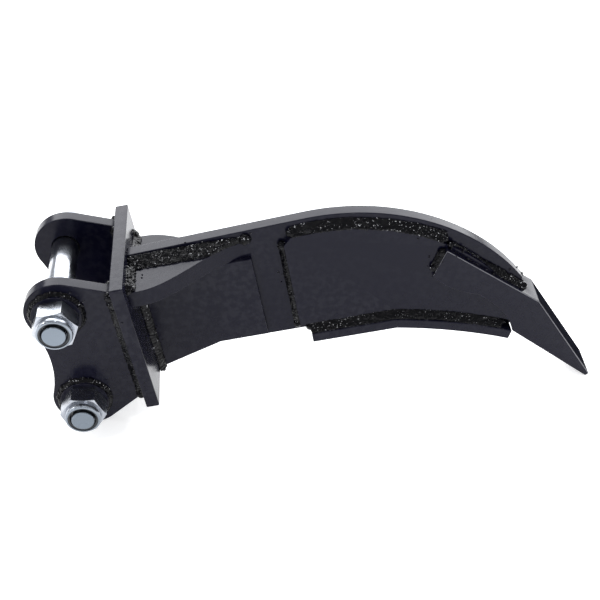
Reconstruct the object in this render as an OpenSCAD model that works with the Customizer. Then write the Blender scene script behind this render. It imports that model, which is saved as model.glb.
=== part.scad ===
// Pin-on single-shank ripper for a small excavator.
// Drawn in the frame of its head plate: X runs forward from the upper pin towards the point,
// Y runs along the pins, Z runs up the head plate. stand() then turns the whole ripper about
// the upper pin so that the ears and the point rest on one level surface.
// The origin is the middle of the upper pin.

/* [Ears] */
// Clear width between the two ears
ear_gap = 87; // [70:1:110]
// Thickness of an ear
ear_t = 12; // [10:0.5:16]
// Radius of the two lobes of an ear
lobe_r = 31.5; // [29.5:0.5:36]
// How far each pin sits behind the centre of its lobe
pin_setback = 3; // [0:0.5:4]
// Height of the ear's top edge at the head plate, above the upper pin
ear_root_top = 13; // [8:1:18]
// Depth of the ear's bottom edge at the head plate, below the lower pin
ear_root_bottom = 6; // [0:1:12]
// Radius of the waist between the two lobes
waist_r = 105; // [60:5:160]

/* [Pins and nuts] */
// Distance between the upper and the lower pin
pin_pitch = 100; // [80:1:130]
// How far the lower pin sits behind the upper one
lower_pin_back = 2.5; // [0:0.5:5]
// Diameter of a pin bolt's ground journal, between the ears
pin_d = 25; // [25:0.5:28]
// How much smaller in radius a pin bolt is inside the ears and bosses
seat_relief = 0.3; // [0.2:0.05:0.45]
// How far the journal stops short of each ear
journal_gap = 0.5; // [0.2:0.1:2]
// Diameter of the threaded end of a pin bolt, over its crests
thread_d = 23.8; // [20:0.1:24]
// Width across the flats of the nut and of the bolt head
hex_af = 36; // [34:1:41]
// Height of the hexagon of the nut
nut_hex_h = 18; // [14:0.5:22]
// Height of the round collar on the nut
collar_h = 6; // [4:0.5:8]
// Thickness of the bolt head
head_h = 15; // [12:0.5:18]
// How far the bolt end stands out of the nut
bolt_proud = 1.5; // [0:0.5:6]
// Diameter of the welded bosses
boss_d = 44; // [40:1:48]
// Thickness of the welded bosses
boss_t = 5; // [3:0.5:8]
// Clearance all round a pin bolt in the ears and bosses
pin_clear = 0.25; // [0.1:0.05:0.5]
// Clearance all round the thread in the nut and its ring
nut_clear = 0.1; // [0.05:0.05:0.2]
// Height of the cone that takes the corners off the outer face of a hexagon
hex_cone = 1.6; // [0.6:0.1:2.4]
// Run of that cone in from the corners
hex_cone_run = 2.7; // [1:0.1:3.6]
// Chamfer at the threaded end of a bolt
bolt_chamfer = 1.8; // [0.8:0.1:2.6]
// Length of the cone from the thread up to the bolt's seat
thread_run_out = 1; // [0.5:0.1:2]
// Rounding of the rim of a nut's collar
collar_round = 2.4; // [0.8:0.1:3]
// How far the collar's lip turns in over the nylon ring
collar_lip = 0.4; // [0.2:0.1:1.2]
// Clearance all round the nylon ring in its pocket
ring_clear = 0.1; // [0.05:0.05:0.3]

/* [Head plate] */
// Distance from the upper pin to the back of the head plate
head_x = 51.5; // [46:0.5:70]
// How far the head plate stands out past each ear
head_ledge = 9.5; // [8:0.5:25]
// Thickness of the head plate
head_t = 12; // [10:0.5:16]
// Height of the head plate above the upper pin
head_top = 21.5; // [18:0.5:30]
// Depth of the head plate below the lower pin
head_bottom = 16; // [12:0.5:30]

/* [Shank] */
// Thickness of the shank
shank_t = 12; // [10:0.5:20]
// Height of the shank's top edge at the head plate, above the upper pin
shank_top = 14; // [10:0.5:17]
// Length of the straight stretch of the top edge
shank_straight = 161; // [130:1:220]
// Rise of the straight stretch, in degrees
shank_rise = 2.1; // [0:0.1:4]
// Radius of the crown
crown_r = 205; // [170:5:260]
// Turn of the crown from the straight stretch to the tooth, in degrees
crown_sweep = 63.6; // [58:0.2:68]
// Depth of the shank's tail below the head plate's lower edge
tail_drop = 5; // [0:0.5:8]
// Length of the rising part of the lower edge
tail_len = 62; // [40:1:80]
// Depth of the belly below the upper pin
belly_z = 102.3; // [90:0.5:112]
// Distance from the head plate to the bend of the lower edge
belly_len = 226.5; // [200:0.5:240]
// Radius of the hollow curve that runs down to the tooth
toe_r = 480; // [320:10:700]

/* [Side plates and gussets] */
// Thickness of the root side plates
root_t = 5; // [3:0.5:8]
// Height of the root side plates' lower edge above the shank's lower edge
root_lift = 4; // [2:0.5:8]
// Length of the root side plates from the head plate
root_len = 107.5; // [100:0.5:125]
// Thickness of the long side plates
side_t = 6; // [4:0.5:8]
// Distance from the head plate to the long side plates
side_start = 138.5; // [132:0.5:150]
// Depth of the long side plate's top edge below the crown
side_drop = 13.5; // [10:0.5:20]
// Height of the long side plate's lower edge above the shank's lower edge
side_lift = 8; // [5:0.5:12]
// Size of the cut across the long side plate's upper back corner
side_corner = 7; // [4:0.5:12]
// Thickness of the gussets
gusset_t = 16; // [10:0.5:20]
// Reach of a gusset along the head plate, from the shank's face
gusset_w = 45; // [35:1:52]
// Length of a gusset's square end on the head plate
gusset_land = 9; // [5:1:20]
// Length of a gusset along the shank
gusset_len = 106; // [90:1:120]
// Depth of the near gusset's top below the shank's top edge
near_gusset_drop = 8; // [6:0.5:30]
// Depth of the far gusset's top below the shank's top edge
far_gusset_drop = 21; // [6:0.5:30]

/* [Wear bar] */
// Width of the wear bar
bar_w = 36; // [30:1:44]
// Thickness of the wear bar
bar_t = 10; // [8:0.5:14]
// Distance from the head plate to the wear bar
bar_start = 147.5; // [145:0.5:160]

/* [Tooth] */
// Width of the tooth
tooth_w = 36; // [32:1:50]
// Depth of the fork's top edge below the crown
fork_drop = 8; // [6:0.5:10]
// Length of the fork behind its seat
fork_len = 86; // [70:1:95]
// Depth of the fork's cheeks at their back end
fork_depth = 30; // [24:1:34]
// How far the rounded back end of a cheek slants forward
cheek_slant = 7; // [2:1:14]
// How far the cheeks swell between their back end and their waist
cheek_swell = 12; // [8:1:16]
// Distance from the seat back to the waist of the cheeks
cheek_waist_at = 28.4; // [20:0.2:36]
// Depth of the cheeks at their waist
cheek_waist = 23.4; // [19:0.2:26]
// Distance from the seat to the tooth's heel, along the fork
heel_reach = 26.2; // [20:0.2:32]
// Drop of the tooth's heel below the seat, across the fork
heel_drop = 48.2; // [46:0.2:52]
// How far ahead of the seat the floor of the fork's slot lies
slot_reach = 7.5; // [4:0.5:12]
// Length of the shoulder ahead of the seat
shoulder_len = 25; // [18:1:32]
// Distance from the seat to the cutting edge, along the fork
point_reach = 128; // [105:1:150]
// Drop of the cutting edge below the crown, across the fork
point_drop = 50; // [44:1:56]
// Thickness of the cutting edge
edge_t = 4; // [2:0.5:6]
// Angle between the crown and the fork at the seat, in degrees
fork_pitch = 17.6; // [14:0.2:22]

/* [Welds] */
// Leg of the welds between ears, shank and head plate
weld_leg = 7; // [5:0.5:8]
// Leg of the welds round the bosses
boss_weld = 4; // [2:0.5:4]
// How far behind the heel the lower curve of the cheek turns
cheek_bow_back = 11; // [8:0.5:13]
// How far under the waist that curve aims
cheek_bow_drop = 2.6; // [1:0.2:4]
// Distance between the end of a weld and the end of the edge it runs along
weld_gap = 2; // [1:0.5:4]
// Leg of the gusset's top weld, along the gusset
gusset_leg = 14; // [8:1:18]
// Highest that weld climbs up the shank
gusset_weld_rise = 7.5; // [4:0.5:8]
// Strip of the shank's face left free above the long side plate's weld
crown_land = 3.5; // [1:0.5:5]
// Distance along the crown between that weld and the tooth's fork
fork_gap = 5; // [3:0.5:10]
// Leg of the weld on the tooth's fork, up the shank
fork_leg = 6; // [3:0.5:7]
// Strip of the cheek's top edge left free beside that weld
cheek_land = 5; // [2:0.5:6.5]
// Strip of the wear bar left free beside its weld
bar_land = 1; // [0.5:0.5:3]
// Length of the weld down the back end of each cheek
cheek_weld_len = 18; // [8:1:24]
// Distance from the top of the cheek's back end to that weld
cheek_top_gap = 5; // [1:0.5:6]

/* [Hidden] */
$fn = 96;

BLACK = [0.10, 0.10, 0.12];
BEAD = [0.05, 0.05, 0.06];
ZINC = [0.80, 0.82, 0.85];
NYLON = [0.86, 0.88, 0.90];
far = 1;
near = -1;
big = 600;
overlap = 0.05;

// Ears and pins
ear_in = ear_gap / 2;
ear_out = ear_in + ear_t;
head_w = 2 * (ear_out + head_ledge);
boss_out = ear_out + boss_t;
upper_pin = [0, 0];
lower_pin = [-lower_pin_back, -pin_pitch];
upper_lobe = upper_pin + [pin_setback, 0];
lower_lobe = lower_pin + [pin_setback, 0];
nut_bore_d = thread_d + 2 * nut_clear;
collar_r = hex_af / 2 - 1.8;
pocket_r = collar_r - 2.2;
ring_h = collar_h - 1;
journal_end = ear_in - journal_gap;
seat_r = pin_d / 2 - seat_relief;
bolt_end = boss_out + nut_hex_h + collar_h + bolt_proud;
upper_nut_turn = 0;
lower_nut_turn = 12;

// Head plate and shank
head_front = head_x + head_t;
head_z0 = -pin_pitch - head_bottom;
face = shank_t / 2;
crown_0 = [head_front + shank_straight, shank_top + shank_straight * tan(shank_rise)];
crown_c = crown_0 + crown_r * [sin(shank_rise), -cos(shank_rise)];
seat_a = 90 + shank_rise - crown_sweep;
seat = crown_c + crown_r * [cos(seat_a), sin(seat_a)];
fork_dip = 90 - seat_a - fork_pitch;
tail = [head_front, head_z0 - tail_drop];
belly_0 = [head_front + tail_len, -belly_z];
belly_1 = [head_front + belly_len, -belly_z];

// Tooth outline, in a frame at its seat with X along the fork and Y square to it.
// The lower edge of a cheek is two curves: from the heel to the waist, then on to the back end.
heel = [heel_reach, -heel_drop];
waist = [-cheek_waist_at, -fork_drop - cheek_waist];
cheek_end = [cheek_slant - fork_len, -fork_drop - fork_depth];
slot_floor = [slot_reach, -fork_drop];
lower_corner = [point_reach - edge_t / 3, -point_drop - edge_t];
function bend(a, b, c, steps = 6) = [
    for (i = [0 : steps]) let (t = i / steps) (1 - t) * (1 - t) * a + 2 * t * (1 - t) * b + t * t * c
];
fork_points = concat(
    [[-fork_len, -fork_drop], [shoulder_len, -fork_drop], [point_reach, -point_drop], lower_corner],
    bend(heel, [heel.x - cheek_bow_back, waist.y - cheek_bow_drop], waist),
    bend(waist, [(waist.x + cheek_end.x) / 2, waist.y - cheek_swell], cheek_end)
);
function at_seat(p) = seat + [
    p.x * cos(fork_dip) + p.y * sin(fork_dip),
    -p.x * sin(fork_dip) + p.y * cos(fork_dip)
];
heel_at = at_seat(heel);
slot_at = at_seat(slot_floor);
// On the line of the slot's floor past the heel, so that a cut along it crosses the lower edge
heel_past = heel_at + (heel_at - slot_at) / 8;

// Hollow curve of the lower edge, through the end of the belly and the heel of the tooth
toe_chord = heel_at - belly_1;
toe_half = norm(toe_chord) / 2;
toe_mid = (belly_1 + heel_at) / 2;
toe_sag = sqrt(toe_r * toe_r - toe_half * toe_half);
toe_c = toe_mid + toe_sag * [toe_chord.y, -toe_chord.x] / norm(toe_chord);

// The level surface touches the lower lobes and the lowest corner of the tooth
rest_run = at_seat(lower_corner) - lower_lobe;
rest_tilt = -atan2(rest_run.y, rest_run.x) - asin(lobe_r / norm(rest_run));

module stand() rotate([0, -rest_tilt, 0]) children();

// Extrudes an outline drawn in X and Z from y0 to y1
module across(y0, y1) {
    rotate([90, 0, 0]) translate([0, 0, -y1]) linear_extrude(y1 - y0) children();
}

// Turns a profile of radius and y about the line along Y through p
module about(p, turn = 360, start = 0) {
    translate([p.x, 0, p.y]) rotate([90, 0, 0]) mirror([0, 0, 1])
        rotate([0, 0, start]) rotate_extrude(angle = turn, $fn = 96) children();
}

// ---- Outlines in X and Z ----

// Where the straight edge from point p meets the lobe at c, on the side that is asked for.
// It runs just inside the lobe, so that the two outlines cross and join cleanly.
function touch(c, p, side) =
    let (r = lobe_r - overlap, d = p - c, a = atan2(d.y, d.x) + side * acos(r / norm(d)))
    c + r * [cos(a), sin(a)];

module ear_outline() {
    root_up = [head_x, ear_root_top];
    root_low = [head_x, lower_pin.y - ear_root_bottom];
    lobes_mid = (upper_lobe + lower_lobe) / 2;
    half = norm(upper_lobe - lower_lobe) / 2;
    away = sqrt(pow(lobe_r + waist_r - overlap, 2) - half * half);
    along = (upper_lobe - lower_lobe) / (2 * half);
    waist_c = lobes_mid + away * [-along.y, along.x];
    translate(upper_lobe) circle(lobe_r);
    translate(lower_lobe) circle(lobe_r);
    difference() {
        polygon([
            lower_lobe + (waist_c - lower_lobe) * lobe_r / (lobe_r + waist_r),
            lower_lobe, touch(lower_lobe, root_low, -1), root_low, root_up,
            touch(upper_lobe, root_up, 1), upper_lobe,
            upper_lobe + (waist_c - upper_lobe) * lobe_r / (lobe_r + waist_r)
        ]);
        translate(waist_c) circle(waist_r);
    }
}

module beyond(p) translate([p.x, -big]) square([big, 2 * big]);

// Everything below the lower edge, moved up by lift
module below_shank(lift = 0) {
    polygon([
        [0, -big], [belly_1.x, -big], belly_1 + [0, lift], belly_0 + [0, lift],
        tail + [0, lift], [0, tail.y + lift]
    ]);
    intersection() {
        translate(toe_c) circle(toe_r + lift);
        beyond(belly_1);
    }
}

// Everything under the top edge, moved down by drop
module under_crown(drop = 0) {
    polygon([
        [head_front, -big], [crown_0.x, -big], crown_0 - [0, drop],
        [head_front, shank_top - drop]
    ]);
    intersection() {
        translate(crown_c) circle(crown_r - drop);
        beyond(crown_0);
    }
}

module tooth_outline() polygon([for (p = fork_points) at_seat(p)]);

module shank_outline() {
    difference() {
        under_crown();
        below_shank();
        polygon([
            seat, [seat.x + big, seat.y], [seat.x + big, -big],
            heel_past - [0, big], heel_past, slot_at
        ]);
    }
}

module side_outline() {
    x0 = head_front + side_start;
    top = shank_top - side_drop + side_start * tan(shank_rise);
    difference() {
        intersection() {
            under_crown(side_drop);
            beyond([x0, 0]);
        }
        below_shank(side_lift);
        tooth_outline();
        polygon([slot_at, slot_at + [big, 0], heel_at + [big, -big], heel_at - [0, big], heel_at]);
        translate([x0, top]) rotate(45) square(side_corner * sqrt(2), center = true);
    }
}

function gusset_reach(s) = gusset_w * (1 - s * s * (3 - 2 * s));

// Outline of a gusset in X and Y, on the +Y side
module gusset_outline() {
    steps = 14;
    polygon(concat(
        [[head_front, face], [head_front, face + gusset_w]],
        [for (i = [0 : steps]) [
            head_front + gusset_land + (gusset_len - gusset_land) * i / steps,
            face + gusset_reach(i / steps)
        ]]
    ));
}

// ---- Plates ----

module ear(side) {
    difference() {
        across(side > 0 ? ear_in : -ear_out, side > 0 ? ear_out : -ear_in) ear_outline();
        for (p = [upper_pin, lower_pin]) pin_hole(p);
    }
}

module pin_hole(p) {
    translate([p.x, 0, p.y]) rotate([90, 0, 0])
        cylinder(d = pin_d + 2 * pin_clear, h = 3 * boss_out, center = true);
}

module near_ear() color(BLACK) stand() ear(near);
module far_ear() color(BLACK) stand() ear(far);

module head_plate() {
    color(BLACK) stand() translate([head_x, -head_w / 2, head_z0])
        cube([head_t, head_w, head_top - head_z0]);
}

module shank() color(BLACK) stand() across(-face, face) shank_outline();

module gusset(side, drop) {
    top = shank_top - drop;
    translate([0, 0, top - gusset_t]) mirror([0, side > 0 ? 0 : 1, 0])
        linear_extrude(gusset_t) gusset_outline();
}

module near_gusset() color(BLACK) stand() gusset(near, near_gusset_drop);
module far_gusset() color(BLACK) stand() gusset(far, far_gusset_drop);

module root_plate(side, drop) {
    top = shank_top - drop - gusset_t;
    y0 = side > 0 ? face : -face - root_t;
    across(y0, y0 + root_t) difference() {
        translate([head_front, -big]) square([root_len, big + top]);
        below_shank(root_lift);
    }
}

module near_root_plate() color(BLACK) stand() root_plate(near, near_gusset_drop);
module far_root_plate() color(BLACK) stand() root_plate(far, far_gusset_drop);

module side_plate(side) {
    y0 = side > 0 ? face : -face - side_t;
    across(y0, y0 + side_t) side_outline();
}

module near_side_plate() color(BLACK) stand() side_plate(near);
module far_side_plate() color(BLACK) stand() side_plate(far);

module bar_outline() {
    x0 = head_front + bar_start;
    bend_t = bar_t / cos(asin((belly_1.x - toe_c.x) / toe_r));
    polygon([
        [x0, -belly_z - bar_t], belly_1 - [0, bend_t], belly_1 + [3, -bend_t / 2], belly_1,
        [x0, -belly_z]
    ]);
    difference() {
        intersection() {
            translate(toe_c) circle(toe_r);
            beyond(belly_1);
            polygon([
                belly_1 + [0, big], belly_1 - [0, big], toe_c + (heel_at - toe_c) * 0.5,
                heel_at, toe_c + (heel_at - toe_c) * 1.2
            ]);
        }
        translate(toe_c) circle(toe_r - bar_t);
        tooth_outline();
    }
}

module wear_bar() color(BLACK) stand() across(-bar_w / 2, bar_w / 2) bar_outline();

// The tooth is forked: its slot takes the nose of the shank
module tooth() {
    color(BLACK) stand() difference() {
        across(-tooth_w / 2, tooth_w / 2) tooth_outline();
        across(-face, face) polygon([
            seat + [0, big], slot_at, heel_at, heel_at - [big, big], [0, big]
        ]);
    }
}

// ---- Bosses, bolts and nuts ----

module boss(p, side) {
    y0 = side > 0 ? ear_out : -boss_out;
    difference() {
        across(y0, y0 + boss_t) translate(p) circle(d = boss_d);
        pin_hole(p);
    }
}

module near_upper_boss() color(BLACK) stand() boss(upper_pin, near);
module near_lower_boss() color(BLACK) stand() boss(lower_pin, near);
module far_upper_boss() color(BLACK) stand() boss(upper_pin, far);
module far_lower_boss() color(BLACK) stand() boss(lower_pin, far);

// A hexagon with its corners turned down to a cone at one end
module hexagon(height, turned_end) {
    corner_r = hex_af / sqrt(3);
    low = turned_end < 0 ? 1 : 0;
    high = turned_end > 0 ? 1 : 0;
    intersection() {
        linear_extrude(height) circle(r = corner_r, $fn = 6);
        rotate_extrude() polygon([
            [0, 0], [corner_r - low * hex_cone_run, 0], [corner_r + 1, low * hex_cone],
            [corner_r + 1, height - high * hex_cone], [corner_r - high * hex_cone_run, height],
            [0, height]
        ]);
    }
}

// Z of a bolt runs along +Y, from the threaded end towards the head
module on_pin(p, y, turn = 0) {
    translate([p.x, y, p.y]) rotate([-90, 0, 0]) rotate([0, 0, turn]) children();
}

module bolt(p) {
    on_pin(p, -bolt_end) {
        rotate_extrude() polygon([
            [0, 0], [thread_d / 2 - bolt_chamfer, 0], [thread_d / 2, bolt_chamfer],
            [thread_d / 2, bolt_end - boss_out],
            [seat_r, bolt_end - boss_out + thread_run_out],
            [seat_r, bolt_end - journal_end], [pin_d / 2, bolt_end - journal_end],
            [pin_d / 2, bolt_end + journal_end], [seat_r, bolt_end + journal_end],
            [seat_r, bolt_end + boss_out], [0, bolt_end + boss_out]
        ]);
    }
    on_pin(p, boss_out) hexagon(head_h, 1);
}

module upper_bolt() color(ZINC) stand() bolt(upper_pin);
module lower_bolt() color(ZINC) stand() bolt(lower_pin);

// Steel nut: a hexagon against the boss, then a round collar with a lip over the nylon ring
module nut(p, turn) {
    nut_h = nut_hex_h + collar_h;
    rim = collar_round * (1 - cos(45));
    on_pin(p, -boss_out - nut_h, turn) difference() {
        union() {
            translate([0, 0, collar_h]) hexagon(nut_hex_h, -1);
            rotate_extrude() polygon([
                [0, 0], [collar_r - collar_round, 0], [collar_r - rim, rim],
                [collar_r, collar_round],
                [collar_r, collar_h + 1], [0, collar_h + 1]
            ]);
        }
        translate([0, 0, -1]) cylinder(d = nut_bore_d, h = nut_h + 2);
        translate([0, 0, -1]) cylinder(r = pocket_r - collar_lip, h = collar_h);
        translate([0, 0, collar_h - ring_h]) cylinder(r = pocket_r, h = ring_h);
    }
}

module upper_nut() color(ZINC) stand() nut(upper_pin, upper_nut_turn);
module lower_nut() color(ZINC) stand() nut(lower_pin, lower_nut_turn);

module nylon_ring(p) {
    on_pin(p, -boss_out - nut_hex_h - ring_h) difference() {
        cylinder(r = pocket_r - ring_clear, h = ring_h);
        translate([0, 0, -1]) cylinder(d = nut_bore_d, h = ring_h + 2);
    }
}

module upper_nylon_ring() color(NYLON) stand() nylon_ring(upper_pin);
module lower_nylon_ring() color(NYLON) stand() nylon_ring(lower_pin);

// ---- Welds ----

module ear_welds() {
    z0 = lower_pin.y - ear_root_bottom + weld_gap;
    color(BEAD) stand() for (side = [near, far]) mirror([0, side > 0 ? 0 : 1, 0])
        translate([0, 0, z0]) linear_extrude(ear_root_top - weld_gap - z0) {
            polygon([[head_x, ear_out], [head_x - weld_leg, ear_out], [head_x, ear_out + weld_leg]]);
            polygon([[head_x, ear_in], [head_x, ear_in - weld_leg], [head_x - weld_leg, ear_in]]);
        }
}

module boss_welds() {
    color(BEAD) stand() for (p = [upper_pin, lower_pin], side = [near, far])
        mirror([0, side > 0 ? 0 : 1, 0]) about(p) polygon([
            [boss_d / 2, ear_out], [boss_d / 2 + boss_weld, ear_out],
            [boss_d / 2, ear_out + boss_weld]
        ]);
}

// Weld along the top of one gusset and its end on the head plate
module gusset_weld(drop) {
    top = shank_top - drop;
    leg_z = min(drop, gusset_weld_rise) - overlap;
    translate([0, 0, top]) intersection() {
        translate([head_front, 0, 0]) rotate([90, 0, 90]) linear_extrude(gusset_len)
            polygon([[face, 0], [face + gusset_leg, 0], [face, leg_z]]);
        linear_extrude(big) gusset_outline();
    }
    translate([0, 0, top]) across(face + gusset_leg, face + gusset_w - weld_gap)
        polygon([[head_front, 0], [head_front + weld_leg, 0], [head_front, weld_leg]]);
}

module gusset_welds() {
    color(BEAD) stand() {
        mirror([0, 1, 0]) gusset_weld(near_gusset_drop);
        gusset_weld(far_gusset_drop);
    }
}

// Upright welds between the root side plates and the head plate
module root_weld(drop) {
    z0 = tail.y + root_lift;
    z1 = shank_top - drop - gusset_t;
    y0 = face + root_t;
    translate([0, 0, z0]) linear_extrude(z1 - z0)
        polygon([[head_front, y0], [head_front + weld_leg, y0], [head_front, y0 + weld_leg]]);
}

module root_welds() {
    color(BEAD) stand() {
        mirror([0, 1, 0]) root_weld(near_gusset_drop);
        root_weld(far_gusset_drop);
    }
}

// Sweep of the side plate's top weld, which runs up to the back end of the tooth's fork
side_sweep = crown_sweep - asin((fork_len + fork_gap) / crown_r);

// Weld round the top and the back edge of one long side plate
module side_weld() {
    x0 = head_front + side_start;
    x1 = x0 + side_corner + 1;
    rise = tan(shank_rise);
    top = shank_top - side_drop;
    leg = side_drop - crown_land;
    z0 = -belly_z + side_lift;
    corner_z = top + side_start * rise - side_corner - 1;
    translate([x1, 0, top + (x1 - head_front) * rise]) rotate([0, -shank_rise, 0])
        rotate([90, 0, 90]) linear_extrude(crown_0.x - x1) translate([face, 0])
            polygon([[0, 0], [side_t, 0], [0, leg]]);
    about(crown_c, side_sweep, 90 + shank_rise - side_sweep) polygon([
        [crown_r - side_drop, face], [crown_r - side_drop, face + side_t],
        [crown_r - side_drop + leg, face]
    ]);
    translate([0, 0, z0]) linear_extrude(corner_z - z0)
        polygon([[x0, face], [x0 - side_t, face], [x0, face + side_t]]);
}

module side_plate_welds() color(BEAD) stand() for (side = [0, 1]) mirror([0, side, 0]) side_weld();

// Weld between the lower edge of a long side plate and the wear bar
module bar_weld() {
    x0 = head_front + bar_start;
    y1 = bar_w / 2 - bar_land;
    y0 = face + side_t;
    section = [[face, 0], [y1, 0], [y0, side_lift], [face, side_lift]];
    translate([x0, 0, -belly_z]) rotate([90, 0, 90]) linear_extrude(belly_1.x - x0)
        polygon(section);
    toe_a = atan2(belly_1.y - toe_c.y, belly_1.x - toe_c.x);
    end_a = atan2(heel_at.y - toe_c.y, heel_at.x - toe_c.x);
    short_of_heel = 1.4;
    run = toe_a - end_a - short_of_heel;
    about(toe_c, run, toe_a - run) polygon([
        [toe_r, face], [toe_r, y1], [toe_r + side_lift, y0], [toe_r + side_lift, face]
    ]);
}

module wear_bar_welds() color(BEAD) stand() for (side = [0, 1]) mirror([0, side, 0]) bar_weld();

// Weld along the top edge of one cheek of the fork, on the shank and the long side plate
module fork_weld() {
    across_leg = tooth_w / 2 - face - cheek_land;
    difference() {
        translate([seat.x, 0, seat.y]) rotate([0, fork_dip, 0])
            translate([weld_gap - fork_len, 0, -fork_drop]) rotate([90, 0, 90])
                linear_extrude(fork_len + slot_reach - 2 * weld_gap)
                    polygon([[face, 0], [face + across_leg, 0], [face, fork_leg]]);
        across(face - overlap, face + side_t) translate(crown_c)
            circle(crown_r - side_drop, $fn = 360);
    }
}

// Weld down the back end of one cheek, on the long side plate
module cheek_weld() {
    proud = tooth_w / 2 - face - side_t;
    slant = atan2(fork_depth, cheek_slant);
    translate([seat.x, face + side_t, seat.y]) rotate([0, fork_dip, 0])
        translate([-fork_len, 0, -fork_drop]) rotate([0, slant, 0])
            translate([cheek_top_gap, 0, 0]) rotate([90, 0, 90]) linear_extrude(cheek_weld_len)
                polygon([[0, 0], [proud, 0], [0, -proud]]);
}

module tooth_welds() color(BEAD) stand() for (side = [0, 1]) mirror([0, side, 0]) {
    fork_weld();
    cheek_weld();
}

near_ear();
far_ear();
head_plate();
shank();
near_gusset();
far_gusset();
near_root_plate();
far_root_plate();
near_side_plate();
far_side_plate();
wear_bar();
tooth();
near_upper_boss();
near_lower_boss();
far_upper_boss();
far_lower_boss();
upper_bolt();
lower_bolt();
upper_nut();
lower_nut();
upper_nylon_ring();
lower_nylon_ring();
ear_welds();
boss_welds();
gusset_welds();
root_welds();
side_plate_welds();
wear_bar_welds();
tooth_welds();
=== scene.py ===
"""Pin-on ripper for a small excavator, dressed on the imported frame.

Every size is in metres, in the row frame. Places come from the frame's own boxes and meshes.
"""

import logging
import math
import random
from dataclasses import dataclass, field
from enum import Enum

import bpy
import numpy as np
from mathutils import Matrix, Vector, noise
from mathutils.bvhtree import BVHTree


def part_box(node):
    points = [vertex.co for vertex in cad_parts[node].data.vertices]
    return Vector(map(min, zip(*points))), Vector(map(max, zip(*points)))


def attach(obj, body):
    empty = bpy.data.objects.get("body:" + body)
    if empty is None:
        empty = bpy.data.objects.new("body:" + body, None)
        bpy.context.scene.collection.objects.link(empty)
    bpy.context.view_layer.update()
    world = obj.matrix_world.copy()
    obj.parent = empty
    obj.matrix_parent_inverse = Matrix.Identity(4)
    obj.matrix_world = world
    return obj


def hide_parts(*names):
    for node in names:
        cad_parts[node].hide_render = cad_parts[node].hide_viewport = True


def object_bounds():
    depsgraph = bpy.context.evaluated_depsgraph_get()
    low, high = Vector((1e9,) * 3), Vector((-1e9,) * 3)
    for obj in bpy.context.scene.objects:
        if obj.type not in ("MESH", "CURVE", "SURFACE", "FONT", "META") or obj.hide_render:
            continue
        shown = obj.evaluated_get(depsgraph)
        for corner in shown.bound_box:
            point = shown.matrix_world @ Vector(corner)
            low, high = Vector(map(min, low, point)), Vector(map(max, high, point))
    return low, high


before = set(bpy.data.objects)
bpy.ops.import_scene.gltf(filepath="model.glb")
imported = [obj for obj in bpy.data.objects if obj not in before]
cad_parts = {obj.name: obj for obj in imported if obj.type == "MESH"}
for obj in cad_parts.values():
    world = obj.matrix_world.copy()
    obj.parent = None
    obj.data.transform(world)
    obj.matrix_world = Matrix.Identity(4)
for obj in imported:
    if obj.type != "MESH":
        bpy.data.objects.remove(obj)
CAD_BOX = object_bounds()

log = logging.getLogger("ripper")
MM = 0.001
SEED = 24
SAME_PLANE = math.radians(0.4)


class Slot(Enum):
    """Material slots of the record."""

    ENAMEL = "black_enamel"
    WELD = "weld_bead"
    ZINC = "zinc_plate"
    NYLON = "nylon"


# ---- Small helpers for the editing session -------------------------------------------------


def only(*pieces: bpy.types.Object) -> None:
    """Selects these objects alone and makes the first one active."""
    if bpy.context.object and bpy.context.object.mode != "OBJECT":
        bpy.ops.object.mode_set(mode="OBJECT")
    bpy.ops.object.select_all(action="DESELECT")
    for piece in pieces:
        piece.select_set(True)
    bpy.context.view_layer.objects.active = pieces[0]


def edit(piece: bpy.types.Object, select: str = "SELECT") -> None:
    """Enters edit mode on one piece, with all of it selected or none."""
    only(piece)
    bpy.ops.object.mode_set(mode="EDIT")
    bpy.ops.mesh.select_all(action=select)


def leave() -> None:
    """Goes back to object mode."""
    bpy.ops.object.mode_set(mode="OBJECT")


def finish_modifier(piece: bpy.types.Object, kind: str, **settings: object) -> None:
    """Adds one modifier and applies it.

    Args:
        piece: the mesh to change.
        kind: the modifier's type.
        settings: the modifier's properties.
    """
    only(piece)
    bpy.ops.object.modifier_add(type=kind)
    modifier = piece.modifiers[-1]
    for key, value in settings.items():
        setattr(modifier, key, value)
    bpy.ops.object.modifier_apply(modifier=modifier.name)


def copy_of(node: str, name: str) -> bpy.types.Object:
    """Copies a CAD node's mesh into a new piece and merges its loose triangles.

    Args:
        node: the CAD node.
        name: the new piece's name.

    Returns:
        The new piece, at the origin, with no parent.
    """
    piece = bpy.data.objects.new(name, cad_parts[node].data.copy())
    piece.data.name = name
    piece.data.materials.clear()
    bpy.context.scene.collection.objects.link(piece)
    edit(piece)
    bpy.ops.mesh.remove_doubles(threshold=0.01 * MM)
    leave()
    return piece


def joined(pieces: list[bpy.types.Object], name: str) -> bpy.types.Object:
    """Joins meshes into the first one and names it."""
    only(*pieces)
    if len(pieces) > 1:
        bpy.ops.object.join()
    pieces[0].name = name
    pieces[0].data.name = name
    return pieces[0]


def coordinates(piece: bpy.types.Object) -> np.ndarray:
    """The vertices of a mesh as an array of rows."""
    flat = np.zeros(len(piece.data.vertices) * 3)
    piece.data.vertices.foreach_get("co", flat)
    return flat.reshape(-1, 3)


def normals(piece: bpy.types.Object) -> np.ndarray:
    """The vertex normals of a mesh as an array of rows."""
    flat = np.zeros(len(piece.data.vertices) * 3)
    piece.data.vertex_normals.foreach_get("vector", flat)
    return flat.reshape(-1, 3)


def move_vertices(piece: bpy.types.Object, places: np.ndarray) -> None:
    """Writes new places for all the vertices of a mesh."""
    piece.data.vertices.foreach_set("co", places.ravel())
    piece.data.update()


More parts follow.
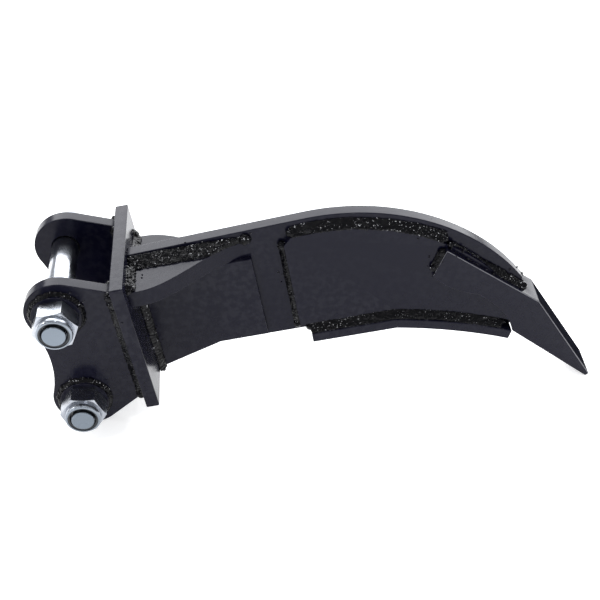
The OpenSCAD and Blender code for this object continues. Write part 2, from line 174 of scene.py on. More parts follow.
def dress(
    piece: bpy.types.Object, material: bpy.types.Material, slot: Slot, body: str, *nodes: str
) -> None:
    """Gives a piece its finish, its body and the CAD nodes that it stands for.

    Args:
        piece: the finished piece.
        material: its material.
        slot: the record's slot of that finish; not used.
        body: the body that it rides on.
        nodes: the CAD nodes that it replaces.
    """
    piece.data.materials.clear()
    piece.data.materials.append(material)
    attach(piece, body)
    if nodes:
        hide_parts(*nodes)
    for node in nodes:
        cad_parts[node].data.materials.clear()
        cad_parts[node].data.materials.append(material)
    log.info("%s: %d faces on %s", piece.name, len(piece.data.polygons), body)


# ---- Shader building -----------------------------------------------------------------------


class Shader:
    """A node tree with short calls for adding and linking nodes."""

    def __init__(self, tree: bpy.types.NodeTree) -> None:
        """Keeps the tree that the nodes go into."""
        self.tree = tree

    def add(self, kind: str, inputs: dict | None = None, **settings: object) -> bpy.types.Node:
        """Adds a node.

        Args:
            kind: the node's type.
            inputs: values or output sockets for its inputs, by name or index.
            settings: the node's own properties.

        Returns:
            The new node.
        """
        node = self.tree.nodes.new(kind)
        for key, value in settings.items():
            setattr(node, key, value)
        for key, value in (inputs or {}).items():
            if isinstance(value, bpy.types.NodeSocket):
                self.tree.links.new(value, node.inputs[key])
            else:
                node.inputs[key].default_value = value
        return node

    def math(self, operation: str, a: object, b: object = 0.0) -> bpy.types.NodeSocket:
        """One math node on two values, and its result."""
        return self.add("ShaderNodeMath", {0: a, 1: b}, operation=operation).outputs[0]

    def span(self, value: object, low: float, high: float, to: tuple = (0.0, 1.0)) -> object:
        """Stretches a value from one range to another, held inside it."""
        node = self.add(
            "ShaderNodeMapRange",
            {"Value": value, "From Min": low, "From Max": high, "To Min": to[0], "To Max": to[1]},
        )
        return node.outputs["Result"]

    def mix(self, factor: object, a: object, b: object) -> bpy.types.NodeSocket:
        """Mixes two colours."""
        node = self.add("ShaderNodeMix", {"Factor": factor}, data_type="RGBA")
        for index, value in ((6, a), (7, b)):
            if isinstance(value, bpy.types.NodeSocket):
                self.tree.links.new(value, node.inputs[index])
            else:
                node.inputs[index].default_value = (*value, 1.0)
        return node.outputs[2]

    def noise(self, vector: object, scale: object, detail: float = 3.0) -> bpy.types.NodeSocket:
        """Noise of one scale, from 0 to 1."""
        return self.add(
            "ShaderNodeTexNoise", {"Vector": vector, "Scale": scale, "Detail": detail}
        ).outputs["Fac"]


def new_group(name: str, inputs: dict[str, float], outputs: list[str]) -> tuple:
    """Starts a shader node group.

    Args:
        name: the group's name.
        inputs: its float inputs and their defaults, after the Vector input.
        outputs: its float outputs.

    Returns:
        The group, a Shader on it, its input node and its output node.
    """
    tree = bpy.data.node_groups.new(name, "ShaderNodeTree")
    tree.interface.new_socket("Vector", in_out="INPUT", socket_type="NodeSocketVector")
    for key, value in inputs.items():
        socket = tree.interface.new_socket(key, in_out="INPUT", socket_type="NodeSocketFloat")
        socket.default_value = value
    for key in outputs:
        tree.interface.new_socket(key, in_out="OUTPUT", socket_type="NodeSocketFloat")
    shader = Shader(tree)
    return tree, shader, shader.add("NodeGroupInput"), shader.add("NodeGroupOutput")


class Effects:
    """The effects that several finishes share, each one a node group."""

    def __init__(self) -> None:
        """Builds every group once."""
        self.skin = self._skin()
        self.rub = self._rub()
        self.dust = self._dust()
        self.painted_glints = self._painted_glints()

    @staticmethod
    def _skin() -> bpy.types.NodeTree:
        """Height of a sprayed or plated skin: long waves and a fine grain."""
        tree, s, given, out = new_group(
            "skin_height", {"Waves": 90.0, "Grain": 900.0, "Wave Share": 0.7}, ["Height", "Blotch"]
        )
        waves = s.noise(given.outputs["Vector"], given.outputs["Waves"], 1.0)
        grain = s.noise(given.outputs["Vector"], given.outputs["Grain"], 2.0)
        share = given.outputs["Wave Share"]
        height = s.math(
            "ADD", s.math("MULTIPLY", waves, share),
            s.math("MULTIPLY", grain, s.math("SUBTRACT", 1.0, share)),
        )
        s.tree.links.new(height, out.inputs["Height"])
        s.tree.links.new(s.noise(given.outputs["Vector"], 14.0, 4.0), out.inputs["Blotch"])
        return tree

    @staticmethod
    def _rub() -> bpy.types.NodeTree:
        """Mask of edges that handling has rubbed."""
        tree, s, given, out = new_group("edge_rub", {"Low": 0.52, "High": 0.62}, ["Mask"])
        point = s.add("ShaderNodeNewGeometry").outputs["Pointiness"]
        edge = s.add(
            "ShaderNodeMapRange",
            {"Value": point, "From Min": given.outputs["Low"], "From Max": given.outputs["High"]},
        ).outputs["Result"]
        worn = s.span(s.noise(given.outputs["Vector"], 160.0, 4.0), 0.42, 0.62)
        s.tree.links.new(s.math("MULTIPLY", edge, worn), out.inputs["Mask"])
        return tree

    @staticmethod
    def _painted_glints() -> bpy.types.NodeTree:
        """Mask of painted glints: small light specks on the crests of a bead, on what faces up or out,
        standing in for highlights.
        """
        tree, s, given, out = new_group("painted_glint_specks", {"Scale": 620.0, "Low": 0.66}, ["Mask"])
        normal = s.add("ShaderNodeNewGeometry").outputs["Normal"]
        up = s.span(s.add("ShaderNodeSeparateXYZ", {0: normal}).outputs["Z"], -0.1, 0.5)
        grain = s.noise(given.outputs["Vector"], given.outputs["Scale"], 2.0)
        specks = s.span(s.math("SUBTRACT", grain, given.outputs["Low"]), 0.0, 0.03)
        patches = s.span(s.noise(given.outputs["Vector"], 70.0, 2.0), 0.42, 0.58)
        mask = s.math("MULTIPLY", s.math("MULTIPLY", up, specks), patches)
        s.tree.links.new(mask, out.inputs["Mask"])
        return tree

    @staticmethod
    def _dust() -> bpy.types.NodeTree:
        """Mask of fine dust on what faces up."""
        tree, s, given, out = new_group("settled_dust", {"Amount": 0.3}, ["Mask"])
        normal = s.add("ShaderNodeNewGeometry").outputs["Normal"]
        up = s.span(s.add("ShaderNodeSeparateXYZ", {0: normal}).outputs["Z"], 0.5, 1.0)
        specks = s.span(s.noise(given.outputs["Vector"], 420.0, 5.0), 0.52, 0.75)
        cloud = s.span(s.noise(given.outputs["Vector"], 22.0, 3.0), 0.35, 0.7)
        mask = s.math("MULTIPLY", s.math("MULTIPLY", up, specks), cloud)
        s.tree.links.new(
            s.math("MULTIPLY", mask, given.outputs["Amount"]), out.inputs["Mask"]
        )
        return tree


def start_material(name: str) -> tuple[bpy.types.Material, Shader, bpy.types.Node]:
    """Starts a node material.

    Args:
        name: the material's name.

    Returns:
        The material, a Shader on its tree and its Principled BSDF.
    """
    material = bpy.data.materials.new(name)
    material.use_nodes = True
    material.node_tree.nodes.clear()
    shader = Shader(material.node_tree)
    bsdf = shader.add("ShaderNodeBsdfPrincipled")
    shader.add("ShaderNodeOutputMaterial", {"Surface": bsdf.outputs["BSDF"]})
    return material, shader, bsdf


@dataclass(frozen=True)
class Enamel:
    """Black enamel sprayed over mill scale, glossy, with a faint orange peel."""

    name: str
    base: tuple[float, float, float] = (0.003, 0.003, 0.011)
    rubbed: tuple[float, float, float] = (0.03, 0.03, 0.04)
    roughness: tuple[float, float] = (0.16, 0.26)
    ior: float = 1.38
    gloss: float = 0.26
    waves: float = 110.0
    grain: float = 1400.0
    wave_share: float = 0.92
    relief: float = 0.00012
    dust: float = 0.05
    dust_tint: tuple[float, float, float] = (0.20, 0.19, 0.18)
    # Painted glints: light specks on the bead crests that stand in for highlights.
    painted_glints: bool = False
    painted_glint_colour: tuple[float, float, float] = (0.62, 0.63, 0.65)

    def material(self, effects: Effects) -> bpy.types.Material:
        """The node material of this enamel."""
        material, s, bsdf = start_material(self.name)
        place = s.add("ShaderNodeTexCoord").outputs["Object"]
        skin = s.add("ShaderNodeGroup", {}, node_tree=effects.skin)
        skin.inputs["Waves"].default_value = self.waves
        skin.inputs["Grain"].default_value = self.grain
        skin.inputs["Wave Share"].default_value = self.wave_share
        s.tree.links.new(place, skin.inputs["Vector"])
        rub = s.add("ShaderNodeGroup", {}, node_tree=effects.rub)
        s.tree.links.new(place, rub.inputs["Vector"])
        dust = s.add("ShaderNodeGroup", {}, node_tree=effects.dust)
        s.tree.links.new(place, dust.inputs["Vector"])
        dust.inputs["Amount"].default_value = self.dust
        colour = s.mix(rub.outputs["Mask"], self.base, self.rubbed)
        colour = s.mix(dust.outputs["Mask"], colour, self.dust_tint)
        # Painted glints: a light colour mixed in on up-facing crests, standing in for highlights.
        if self.painted_glints:
            painted_glints = s.add("ShaderNodeGroup", {}, node_tree=effects.painted_glints)
            s.tree.links.new(place, painted_glints.inputs["Vector"])
            colour = s.mix(painted_glints.outputs["Mask"], colour, self.painted_glint_colour)
        s.tree.links.new(colour, bsdf.inputs["Base Color"])
        rough = s.span(skin.outputs["Blotch"], 0.3, 0.7, self.roughness)
        rough = s.math("ADD", rough, s.math("MULTIPLY", dust.outputs["Mask"], 0.4))
        s.tree.links.new(rough, bsdf.inputs["Roughness"])
        bsdf.inputs["IOR"].default_value = self.ior
        bsdf.inputs["Specular IOR Level"].default_value = self.gloss
        bump = s.add(
            "ShaderNodeBump",
            {"Height": skin.outputs["Height"], "Strength": 1.0, "Distance": self.relief},
        )
        s.tree.links.new(bump.outputs["Normal"], bsdf.inputs["Normal"])
        return material


@dataclass(frozen=True)
class Zinc:
    """Bright zinc plate on turned steel, centred on its own axis, with a painted reflection on the
    bolt's end face.
    """

    name: str
    centre: tuple[float, float]
    end_y: float
    base: tuple[float, float, float] = (0.50, 0.52, 0.56)
    dull: tuple[float, float, float] = (0.28, 0.30, 0.34)
    end_painted_reflection: tuple[float, float, float] = (0.19, 0.22, 0.255)
    roughness: tuple[float, float] = (0.16, 0.34)
    relief: float = 0.00006

    def material(self, effects: Effects) -> bpy.types.Material:
        """The node material of this plated steel."""
        material, s, bsdf = start_material(self.name)
        place = s.add("ShaderNodeTexCoord").outputs["Object"]
        skin = s.add("ShaderNodeGroup", {}, node_tree=effects.skin)
        for key, value in (("Waves", 260.0), ("Grain", 1900.0), ("Wave Share", 0.45)):
            skin.inputs[key].default_value = value
        s.tree.links.new(place, skin.inputs["Vector"])
        rub = s.add("ShaderNodeGroup", {}, node_tree=effects.rub)
        s.tree.links.new(place, rub.inputs["Vector"])
        on_axis = s.add(
            "ShaderNodeMapping",
            {"Vector": place, "Location": (-self.centre[0], 0.0, -self.centre[1])},
        ).outputs["Vector"]
        rings = s.add(
            "ShaderNodeTexWave",
            {"Vector": on_axis, "Scale": 330.0, "Distortion": 0.6, "Detail": 2.0},
            wave_type="RINGS", rings_direction="Y",
        ).outputs["Fac"]
        blotch = s.span(skin.outputs["Blotch"], 0.35, 0.65)
        colour = s.mix(blotch, self.base, self.dull)
        colour = s.mix(rub.outputs["Mask"], colour, (0.92, 0.93, 0.95))
        # Painted reflection: the bolt's end face takes a darker, bluer colour than the rest of the
        # plating.
        depth = s.add("ShaderNodeSeparateXYZ", {0: place}).outputs["Y"]
        past_end = s.span(depth, self.end_y + 1 * MM, self.end_y + 4 * MM)
        colour = s.mix(past_end, self.end_painted_reflection, colour)
        s.tree.links.new(colour, bsdf.inputs["Base Color"])
        bsdf.inputs["Metallic"].default_value = 1.0
        s.tree.links.new(s.span(blotch, 0.0, 1.0, self.roughness), bsdf.inputs["Roughness"])
        height = s.math("ADD", s.math("MULTIPLY", rings, 0.35), skin.outputs["Height"])
        bump = s.add(
            "ShaderNodeBump", {"Height": height, "Strength": 1.0, "Distance": self.relief}
        )
        s.tree.links.new(bump.outputs["Normal"], bsdf.inputs["Normal"])
        return material


@dataclass(frozen=True)
class Nylon:
    """Nylon of a lock nut's ring, its grey darkened to near black as painted shade of the recess that
    it sits in.
    """

    name: str = "ring_nylon_painted_shade"
    # Near black: painted shade of the ring's recess in the collar.
    base: tuple[float, float, float] = (0.028, 0.031, 0.035)

    def material(self, effects: Effects) -> bpy.types.Material:
        """The node material of the nylon."""
        material, s, bsdf = start_material(self.name)
        place = s.add("ShaderNodeTexCoord").outputs["Object"]
        skin = s.add("ShaderNodeGroup", {}, node_tree=effects.skin)
        s.tree.links.new(place, skin.inputs["Vector"])
        lighter = tuple(1.7 * value for value in self.base)
        s.tree.links.new(
            s.mix(skin.outputs["Blotch"], self.base, lighter), bsdf.inputs["Base Color"]
        )
        s.tree.links.new(s.span(skin.outputs["Height"], 0, 1, (0.35, 0.6)), bsdf.inputs["Roughness"])
        bump = s.add(
            "ShaderNodeBump",
            {"Height": skin.outputs["Height"], "Strength": 1.0, "Distance": 0.00005},
        )
        s.tree.links.new(bump.outputs["Normal"], bsdf.inputs["Normal"])
        return material


# ---- Steelwork -----------------------------------------------------------------------------


@dataclass
class Plate:
    """One cut plate, its edges rounded as cutting, grinding and paint leave them."""

    node: str
    edge: float = 0.9 * MM
    segments: int = 3
    crease: float = 32.0

    def build(self, material: bpy.types.Material, slot: Slot, body: str) -> bpy.types.Object:
        """Makes the plate and dresses it."""
        piece = copy_of(self.node, f"{self.node}_dressed")
        edit(piece)
        bpy.ops.mesh.dissolve_limited(angle_limit=SAME_PLANE)
        leave()
        finish_modifier(
            piece, "BEVEL", width=self.edge, segments=self.segments,
            limit_method="ANGLE", angle_limit=math.radians(self.crease),
            use_clamp_overlap=True,
        )
        only(piece)
        bpy.ops.object.shade_smooth_by_angle(angle=math.radians(40))
        finish_modifier(piece, "WEIGHTED_NORMAL", keep_sharp=True)
        dress(piece, material, slot, body, self.node)
        return piece


def paint_face_shade(piece: bpy.types.Object, toward: Vector, material: bpy.types.Material) -> None:
    """Paints shade on the largest flat face that looks one way, by giving it a finish of its own.

    Args:
        piece: the dressed piece.
        toward: the way that the face looks, roughly.
        material: the darker finish that paints the shade.
    """
    near_enough = math.cos(math.radians(35))
    facing = [p for p in piece.data.polygons if p.normal.dot(toward) > near_enough]
    normal = max(facing, key=lambda polygon: polygon.area).normal.copy()
    same_face = math.radians(2)
    piece.data.materials.append(material)
    for polygon in facing:
        if polygon.normal.angle(normal) < same_face:
            polygon.material_index = len(piece.data.materials) - 1


def paint_edge_highlight(piece: bpy.types.Object, material: bpy.types.Material) -> None:
    """Paints a highlight on the upper bevels of a piece, which lean to one side or the other, with a
    lighter finish.

    Args:
        piece: the dressed piece.
        material: the lighter finish that paints the highlight.
    """
    least_lean, most_lean, least_rise = 0.25, 0.93, 0.2
    piece.data.materials.append(material)
    for polygon in piece.data.polygons:
        lean, rise = abs(polygon.normal.y), polygon.normal.z
        if least_lean < lean < most_lean and rise > least_rise:
            polygon.material_index = len(piece.data.materials) - 1


class Run(Enum):
    """How a weld runs: along a line or round an axis."""

    LINE = "line"
    RING = "ring"


@dataclass
class WeldSet:
    """The beads that one CAD weld node stands for, remade as rippled metal."""

    node: str
    passes: int = 1
    pitch: float = 3.0 * MM
    ripple: float = 0.5 * MM
    crown: float = 0.9 * MM
    lumps: float = 0.7 * MM
    voxel: float = 0.65 * MM
    run: Run = Run.LINE
    end_ball: float = 2.6 * MM
    seed: int = 1

    def build(self, material: bpy.types.Material) -> bpy.types.Object:
        """Makes the beads and dresses them."""
        piece = copy_of(self.node, f"{self.node}_rippled")
        edit(piece)
        bpy.ops.mesh.separate(type="LOOSE")
        leave()
        parts = sorted(bpy.context.selected_objects, key=lambda o: tuple(coordinates(o).mean(0)))
        for number, part in enumerate(parts):
            self._ripple(part, number)
        piece = joined(parts, f"{self.node}_rippled")
        only(piece)
        bpy.ops.object.shade_smooth()
        dress(piece, material, Slot.WELD, "root", self.node)
        return piece

    def _axes(self, places: np.ndarray) -> tuple[np.ndarray, np.ndarray]:
        """The middle of a bead and its long, wide and thin directions as rows."""
        middle = (places.min(0) + places.max(0)) / 2
        _, _, rows = np.linalg.svd(places - places.mean(0), full_matrices=False)
        return middle, rows

    def _with_end_balls(
        self, part: bpy.types.Object, middle: np.ndarray, way: np.ndarray
    ) -> bpy.types.Object:
        """Joins a ball of metal to each end of a bead, where the arc started and stopped.

        Args:
            part: the bead.
            middle: its middle.
            way: its long direction.

        Returns:
            The bead with its balls.
        """
        places = coordinates(part)
        along = (places - middle) @ way
        balls = []
        for end in (along.min(), along.max()):
            close = places[np.abs(along - end) < self.end_ball]
            bpy.ops.object.select_all(action="DESELECT")
            bpy.ops.mesh.primitive_ico_sphere_add(
                subdivisions=3, radius=self.end_ball, location=tuple(close.mean(0))
            )
            bpy.ops.object.transform_apply(location=True, rotation=True, scale=True)
            balls.append(bpy.context.object)
        return joined([part, *balls], part.name)

    def _ripple(self, part: bpy.types.Object, number: int) -> None:
        """Meshes one bead evenly and raises its ripples."""
        middle, rows = self._axes(coordinates(part))
        if self.run is Run.LINE:
            part = self._with_end_balls(part, middle, rows[0])
        finish_modifier(part, "REMESH", mode="VOXEL", voxel_size=self.voxel)
        finish_modifier(part, "SMOOTH", factor=0.5, iterations=3)
        places = coordinates(part)
        out = normals(part)
        local = places - middle
        if self.run is Run.RING:
            along = np.arctan2(local[:, 2], local[:, 0])
            radius = np.hypot(local[:, 0], local[:, 2])
            along = along * radius.mean()
            wide = radius - radius.mean()
        else:
            along = local @ rows[0]
            wide = local @ rows[1]
        half = max(np.abs(wide).max(), 1e-6)
        lane = (wide / half + 1) / 2 * self.passes
        lane_no = np.clip(np.floor(lane), 0, self.passes - 1)
        across = 2 * (lane - lane_no) - 1
        shift = Vector((self.seed * 3.1, number * 7.7, 0.0))
        drift = np.array([noise.noise(Vector(p) * 160 + shift) for p in places])
        lump = np.array([noise.noise(Vector(p) * 330 - shift) for p in places])
        fine = np.array([noise.noise(Vector(p) * 900 + shift) for p in places])
        phase = along / self.pitch + 0.55 * across**2 + 0.37 * lane_no + 0.5 * drift
        part_of = np.mod(phase, 1.0)
        wave = np.sqrt(np.clip(1 - (2 * part_of - 1) ** 2, 0, 1)) - 0.7
        dome = np.sqrt(np.clip(1 - across**2, 0, 1)) - 0.3
        rise = self.ripple * wave + self.crown * dome + self.lumps * (0.8 * drift + 0.8 * lump)
        rise = rise + 0.35 * self.lumps * fine
        move_vertices(part, places + out * rise[:, None])


@dataclass
class Spatter:
    """Small balls of metal that welding threw on the plates beside the beads."""

    count: int = 420
    reach: float = 9.0 * MM
    sizes: tuple[float, float] = (0.35 * MM, 1.1 * MM)
    nodes: list[str] = field(default_factory=list)
    keep_clear: list[str] = field(default_factory=list)
    clearance: float = 2.0 * MM

    def build(self, beads: list[bpy.types.Object], material: bpy.types.Material) -> None:
        """Throws the balls near the beads and dresses them as one piece."""
        rng = random.Random(SEED)
        trees = [self._tree(node) for node in self.nodes]
        moving = [self._tree(node) for node in self.keep_clear]
        only_ball = self._ball()
        copies = []
        clouds = [coordinates(bead) for bead in beads]
        while len(copies) < self.count:
            cloud = rng.choice(clouds)
            start = Vector(cloud[rng.randrange(len(cloud))])
            aim = Vector([rng.gauss(0, 1) for _ in range(3)]).normalized()
            start = start + aim * rng.uniform(1.5 * MM, self.reach)
            hits = [tree.find_nearest(start, 6 * MM) for tree in trees]
            hits = [hit for hit in hits if hit[0] is not None]
            if not hits:
                continue
            hit = min(hits, key=lambda found: found[3])
            if any(tree.find_nearest(hit[0], self.clearance)[0] is not None for tree in moving):
                continue
            size = rng.uniform(*self.sizes) * rng.choice((0.7, 0.9, 1.0, 1.4))
            copy = only_ball.copy()
            copy.data = only_ball.data.copy()
            bpy.context.scene.collection.objects.link(copy)
            spot = hit[0] + hit[1] * size * 0.25
            copy.data.transform(Matrix.Translation(spot) @ Matrix.Diagonal((size, size, size, 1)))
            copies.append(copy)
        bpy.data.objects.remove(only_ball)
        piece = joined(copies, "weld_spatter")
        only(piece)
        bpy.ops.object.shade_smooth()
        dress(piece, material, Slot.WELD, "root")

    @staticmethod
    def _tree(node: str) -> BVHTree:
        """A search tree on one CAD node's faces."""
        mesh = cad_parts[node].data
        return BVHTree.FromPolygons(
            [v.co for v in mesh.vertices], [tuple(p.vertices) for p in mesh.polygons]
        )

    @staticmethod
    def _ball() -> bpy.types.Object:
        """One ball of unit radius, with few faces and a flattened crown."""
        bpy.ops.object.select_all(action="DESELECT")
        bpy.ops.mesh.primitive_uv_sphere_add(segments=8, ring_count=6, radius=1.0)
        ball = bpy.context.object
        edit(ball)
        bpy.ops.transform.resize(value=(1.0, 0.92, 0.85))
        leave()
        return ball


# ---- Pins and nuts -------------------------------------------------------------------------


@dataclass
class PinBolt:
    """A hexagon bolt that serves as a pin, with a real helical thread."""

    node: str
    body: str
    thread_length: float = 25.0 * MM
    pitch: float = 3.0 * MM
    crest: float = 11.86 * MM
    root: float = 10.2 * MM
    chamfer: float = 3.6 * MM

    def centre(self) -> Vector:
        """The bolt's axis at its threaded end, from its box."""
        low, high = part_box(self.node)
        return Vector(((low.x + high.x) / 2, low.y, (low.z + high.z) / 2))

    def build(self, material: bpy.types.Material) -> bpy.types.Object:
        """Makes head, shank and thread, and dresses them."""
        end = self.centre()
        piece = copy_of(self.node, f"{self.node}_threaded")
        edit(piece)
        bpy.ops.mesh.dissolve_limited(angle_limit=SAME_PLANE)
        bpy.ops.mesh.select_all(action="SELECT")
        bpy.ops.mesh.bisect(
            plane_co=end + Vector((0, self.thread_length, 0)), plane_no=(0, 1, 0),
            use_fill=True, clear_inner=True,
        )
        leave()
        finish_modifier(
            piece, "BEVEL", width=0.5 * MM, segments=3, limit_method="ANGLE",
            angle_limit=math.radians(25),
        )
        parts = [piece, self._core(end), self._ridge(end)]
        piece = joined(parts, f"{self.node}_threaded")
        only(piece)
        bpy.ops.object.shade_smooth_by_angle(angle=math.radians(38))
        dress(piece, material, Slot.ZINC, self.body, self.node)
        return piece

    def _core(self, end: Vector) -> bpy.types.Object:
        """The thread's core, with a chamfered and lightly dished end."""
        bpy.ops.object.select_all(action="DESELECT")
        depth = self.thread_length + 1 * MM
        bpy.ops.mesh.primitive_cylinder_add(
            vertices=64, radius=self.root, depth=depth,
            location=(end.x, end.y + depth / 2, end.z), rotation=(math.pi / 2, 0, 0),
        )
        core = bpy.context.object
        bpy.ops.object.transform_apply(location=True, rotation=True, scale=True)
        edit(core, "DESELECT")
        bpy.ops.mesh.select_mode(type="FACE")
        leave()
        for polygon in core.data.polygons:
            polygon.select = polygon.center.y < end.y + 0.1 * MM
        bpy.ops.object.mode_set(mode="EDIT")
        bpy.ops.mesh.bevel(offset=0.7 * MM, segments=2)
        leave()
        for polygon in core.data.polygons:
            polygon.select = polygon.normal.y < -0.99
        bpy.ops.object.mode_set(mode="EDIT")
        bpy.ops.mesh.inset(thickness=1.2 * MM)
        bpy.ops.transform.translate(value=(0, 0.35 * MM, 0))
        bpy.ops.mesh.inset(thickness=6.6 * MM)
        bpy.ops.transform.translate(value=(0, -0.2 * MM, 0))
        leave()
        return core

    def _ridge(self, end: Vector) -> bpy.types.Object:
        """The helical ridge of the thread, closed at both ends."""
        bpy.ops.object.select_all(action="DESELECT")
        bpy.ops.mesh.primitive_circle_add(
            vertices=4, radius=1.0, fill_type="NOTHING", location=(0, 0, 0)
        )
        ridge = bpy.context.object
        base, flat = self.root - 0.3 * MM, 0.25 * MM
        half = self.pitch / 2 - 0.15 * MM
        corners = [
            (base, -half, 0), (self.crest, -flat, 0), (self.crest, flat, 0), (base, half, 0)
        ]
        move_vertices(ridge, np.array(corners))
        turns = int((self.thread_length - self.chamfer - half) / self.pitch)
        finish_modifier(
            ridge, "SCREW", axis="Y", angle=2 * math.pi, steps=48, render_steps=48,
            iterations=turns, screw_offset=self.pitch, use_normal_calculate=True,
        )
        edit(ridge)
        bpy.ops.mesh.fill_holes(sides=4)
        bpy.ops.mesh.select_all(action="SELECT")
        bpy.ops.mesh.normals_make_consistent(inside=False)
        bpy.ops.transform.translate(value=(end.x, end.y + self.chamfer + half, end.z))
        leave()
        return ridge


# ---- Stage ---------------------------------------------------------------------------------


@dataclass
class Studio:
    """Pale floor, soft light and camera."""

    camera_place: tuple[float, float, float] = (0.14177, -0.87864, 0.65985)
    azimuth: float = -4.788
    elevation: float = 38.326
    roll: float = 0.998
    lens: float = 72.48
    floor_glow: float = 0.6

    def build(self) -> None:
        """Sets up floor, lights, world and camera."""
        self._floor()
        self._lights()
        self._world()
        self._camera()

    def _floor(self) -> None:
        """A wide pale floor that touches the lowest point of the object."""
        low, high = CAD_BOX
        bpy.ops.object.select_all(action="DESELECT")
        bpy.ops.mesh.primitive_plane_add(size=14.0, location=(0.2, 0.0, low[2]))
        floor = bpy.context.object
        floor.name = "studio_floor"
        edit(floor)
        bpy.ops.mesh.subdivide(number_cuts=6)
        leave()
        material, s, bsdf = start_material("pale_floor")
        place = s.add("ShaderNodeTexCoord").outputs["Object"]
        tone = s.noise(place, 3.0, 4.0)
        s.tree.links.new(s.mix(tone, (0.78, 0.78, 0.79), (0.82, 0.82, 0.82)), bsdf.inputs["Base Color"])
        s.tree.links.new(s.span(tone, 0, 1, (0.55, 0.7)), bsdf.inputs["Roughness"])
        bsdf.inputs["Specular IOR Level"].default_value = 0.2
        bsdf.inputs["Emission Color"].default_value = (1.0, 1.0, 1.0, 1.0)
        bsdf.inputs["Emission Strength"].default_value = self.floor_glow
        floor.data.materials.append(material)

    @staticmethod
    def _lamp(
        name: str, place: tuple, size: tuple[float, float], radiance: float, colour: tuple
    ) -> None:
        """Adds one soft box that faces the object.

        Args:
            name: the lamp's name.
            place: its middle.
            size: its width and height.
            radiance: its brightness per area and angle.
            colour: its tint.
        """
        data = bpy.data.lights.new(name, "AREA")
        data.shape = "RECTANGLE"
        data.size, data.size_y = size
        data.energy = radiance * math.pi * size[0] * size[1]
        data.color = colour
        lamp = bpy.data.objects.new(name, data)
        bpy.context.scene.collection.objects.link(lamp)
        target = Vector((0.2, 0.0, -0.05))
        lamp.location = place
        lamp.rotation_euler = (target - Vector(place)).to_track_quat("-Z", "Y").to_euler()
        lamp.visible_camera = False

    def _lights(self) -> None:
        """A wide box over the back, a small key, a side fill and five small sharp lamps."""
        self._lamp("back_box", (0.55, 2.5, 1.5), (4.6, 2.9), 5.2, (0.97, 0.98, 1.0))
        self._lamp("key_box", (-1.1, -0.9, 2.1), (0.3, 0.3), 40.0, (1.0, 1.0, 1.0))
        self._lamp("side_box", (-2.6, 0.2, 1.2), (1.4, 1.6), 2.0, (1.0, 1.0, 1.0))
        for name, place in (
            ("spark_right", (1.5, -0.6, 1.6)), ("spark_back", (-0.5, 1.3, 2.3)),
            ("spark_front", (0.5, -1.9, 1.5)), ("spark_left", (-1.7, 0.3, 1.4)),
            ("spark_over", (0.5, 0.2, 2.4)),
        ):
            self._lamp(name, place, (0.12, 0.12), 90.0, (1.0, 1.0, 1.0))

    @staticmethod
    def _world() -> None:
        """An even pale surround."""
        world = bpy.data.worlds.new("surround")
        bpy.context.scene.world = world
        world.use_nodes = True
        background = world.node_tree.nodes["Background"]
        background.inputs["Color"].default_value = (0.95, 0.97, 1.0, 1.0)
        background.inputs["Strength"].default_value = 0.55

    def _camera(self) -> None:
        """The camera, from its place and its three angles."""
        data = bpy.data.cameras.new("view")
        data.lens = self.lens
        data.sensor_width = 36.0
        camera = bpy.data.objects.new("view", data)
        bpy.context.scene.collection.objects.link(camera)
        az, el, roll = (math.radians(a) for a in (self.azimuth, self.elevation, self.roll))
        back = Vector((math.sin(az) * math.cos(el), -math.cos(az) * math.cos(el), math.sin(el)))
        level = Vector((math.cos(az), math.sin(az), 0))
        above = back.cross(level)
        right = math.cos(roll) * level + math.sin(roll) * above
        up = math.cos(roll) * above - math.sin(roll) * level
        turn = Matrix((right, up, back)).transposed().to_4x4()
        camera.matrix_world = Matrix.Translation(self.camera_place) @ turn
        bpy.context.scene.camera = camera
        bpy.context.scene.view_settings.view_transform = "Standard"
        bpy.context.scene.view_settings.look = "None"


# ---- The whole ripper ----------------------------------------------------------------------


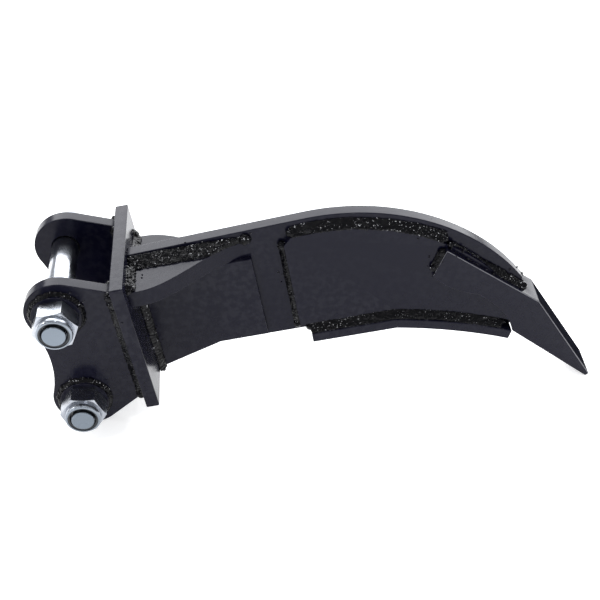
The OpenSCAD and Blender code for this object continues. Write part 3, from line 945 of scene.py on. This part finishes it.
class Ripper:
    """The ripper, built from its steelwork, welds and pins."""

    PLATES = [
        Plate("near_ear"), Plate("far_ear"), Plate("head_plate", 1.1 * MM), Plate("shank", 0.8 * MM),
        Plate("near_gusset", 0.9 * MM), Plate("far_gusset", 0.9 * MM),
        Plate("near_root_plate", 0.7 * MM), Plate("far_root_plate", 0.7 * MM),
        Plate("near_side_plate", 0.8 * MM), Plate("far_side_plate", 0.8 * MM),
        Plate("wear_bar", 1.0 * MM),
        Plate("near_upper_boss", 0.6 * MM), Plate("near_lower_boss", 0.6 * MM),
        Plate("far_upper_boss", 0.6 * MM), Plate("far_lower_boss", 0.6 * MM),
    ]
    TOOTH = Plate("tooth", 1.7 * MM, 4)
    CHISEL_WAY = Vector((0.82, 0.0, 0.57))
    WELDS = [
        WeldSet("ear_welds", seed=1, end_ball=3.6 * MM),
        WeldSet("boss_welds", run=Run.RING, seed=2, crown=0.5 * MM, lumps=1.0 * MM),
        WeldSet("gusset_welds", passes=2, seed=3, end_ball=5.0 * MM, lumps=1.0 * MM),
        WeldSet("root_welds", seed=4, end_ball=2.2 * MM),
        WeldSet("side_plate_welds", seed=5, end_ball=3.6 * MM),
        WeldSet("wear_bar_welds", passes=2, seed=6, end_ball=4.0 * MM),
        WeldSet("tooth_welds", seed=7, end_ball=3.3 * MM, lumps=0.9 * MM),
    ]

    def __init__(self, effects: Effects) -> None:
        """Makes the finishes that the parts share."""
        self.effects = effects
        self.enamel = Enamel("black_enamel_gloss").material(effects)
        # Lighter copy of the enamel: painted highlight on the tooth's upper bevels.
        self.edge = Enamel(
            "black_enamel_painted_edge_highlight", base=(0.17, 0.17, 0.185), roughness=(0.2, 0.4)
        ).material(effects)
        # Shineless matt copy of the enamel: painted shade on the tooth's chisel face.
        self.chisel_painted_shade = Enamel(
            "black_enamel_chisel_painted_shade", base=(0.006, 0.006, 0.009), gloss=0.0, dust=0.0,
            roughness=(0.6, 0.7),
        ).material(effects)
        # The bead paint carries painted glints that stand in for highlights.
        self.bead = Enamel(
            "black_enamel_on_weld", base=(0.0012, 0.0012, 0.002), roughness=(0.07, 0.13),
            waves=480.0, grain=1700.0, wave_share=0.8, relief=0.0006, gloss=0.2, dust=0.02,
            painted_glints=True,
        ).material(effects)

    def build(self) -> None:
        """Builds every sub-assembly in order."""
        for plate in self.PLATES:
            plate.build(self.enamel, Slot.ENAMEL, "root")
        tooth = self.TOOTH.build(self.enamel, Slot.ENAMEL, "root")
        # Painted shade on the chisel face.
        paint_face_shade(tooth, self.CHISEL_WAY, self.chisel_painted_shade)
        # Painted highlight on the tooth's upper bevels.
        paint_edge_highlight(tooth, self.edge)
        beads = [weld.build(self.bead) for weld in self.WELDS]
        nodes = [plate.node for plate in [*self.PLATES, self.TOOTH]]
        turning = [f"{row}_{part}" for row in ("upper", "lower") for part in ("bolt", "nut")]
        Spatter(nodes=nodes, keep_clear=turning).build(beads, self.bead)
        self._pins()

    def _pins(self) -> None:
        """Builds both bolts with their nuts and rings."""
        nylon = Nylon().material(self.effects)
        for row in ("upper", "lower"):
            bolt = PinBolt(f"{row}_bolt", f"{row}_bolt_body")
            centre = bolt.centre()
            axis = (centre.x, centre.z)
            zinc = Zinc(f"zinc_{row}", axis, centre.y).material(self.effects)
            bolt.build(zinc)
            Plate(f"{row}_nut", 0.45 * MM, 3, 25.0).build(zinc, Slot.ZINC, f"{row}_nut_body")
            Plate(f"{row}_nylon_ring", 0.3 * MM, 2).build(nylon, Slot.NYLON, f"{row}_ring_body")


def main() -> None:
    """Builds the ripper and its stage."""
    logging.basicConfig(level=logging.INFO, format="%(name)s %(message)s")
    Studio().build()
    Ripper(Effects()).build()


if __name__ == "__main__":
    main()
